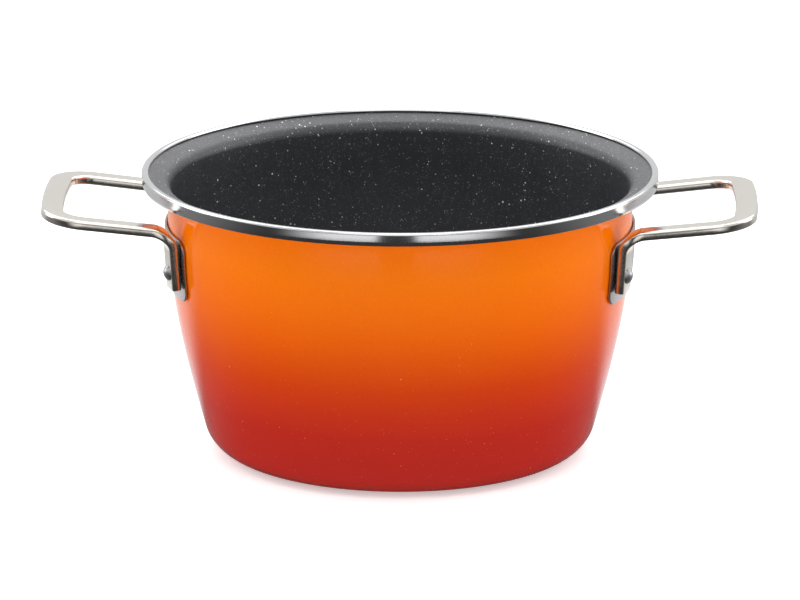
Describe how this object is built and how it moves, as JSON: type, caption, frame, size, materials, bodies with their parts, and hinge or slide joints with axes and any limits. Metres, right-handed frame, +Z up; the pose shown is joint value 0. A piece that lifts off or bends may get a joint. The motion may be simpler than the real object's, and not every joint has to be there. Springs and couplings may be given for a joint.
{
  "type": "casserole pot",
  "caption": "Round enamelled steel casserole with a tapered wall, flared lip under a steel rim band, and riveted bar loop handles on curved bracket plates; no lid",
  "frame": {"origin": "centre of the flat base, on the plane the pot stands on", "axes": "+Z up through the open mouth, +X and -X through the two handles, -Y towards the front"},
  "size_m": [0.3414, 0.247, 0.1373],
  "materials": {
    "enamel": "glossy enamel, orange under the rim fading to red at the base; dark speckled coating inside",
    "polished_steel": "polished stainless steel",
    "bracket_steel": "finely brushed stainless sheet",
    "rivet_steel": "satin stainless rivet"
  },
  "bodies": {
    "root": {"pot_body": "enamel", "rim_band": "polished_steel", "handle_right": "polished_steel", "handle_left": "polished_steel", "bracket_right": "bracket_steel", "bracket_left": "bracket_steel", "rivet_right_front": "rivet_steel", "rivet_right_back": "rivet_steel", "rivet_left_front": "rivet_steel", "rivet_left_back": "rivet_steel"}
  },
  "joints": []
}
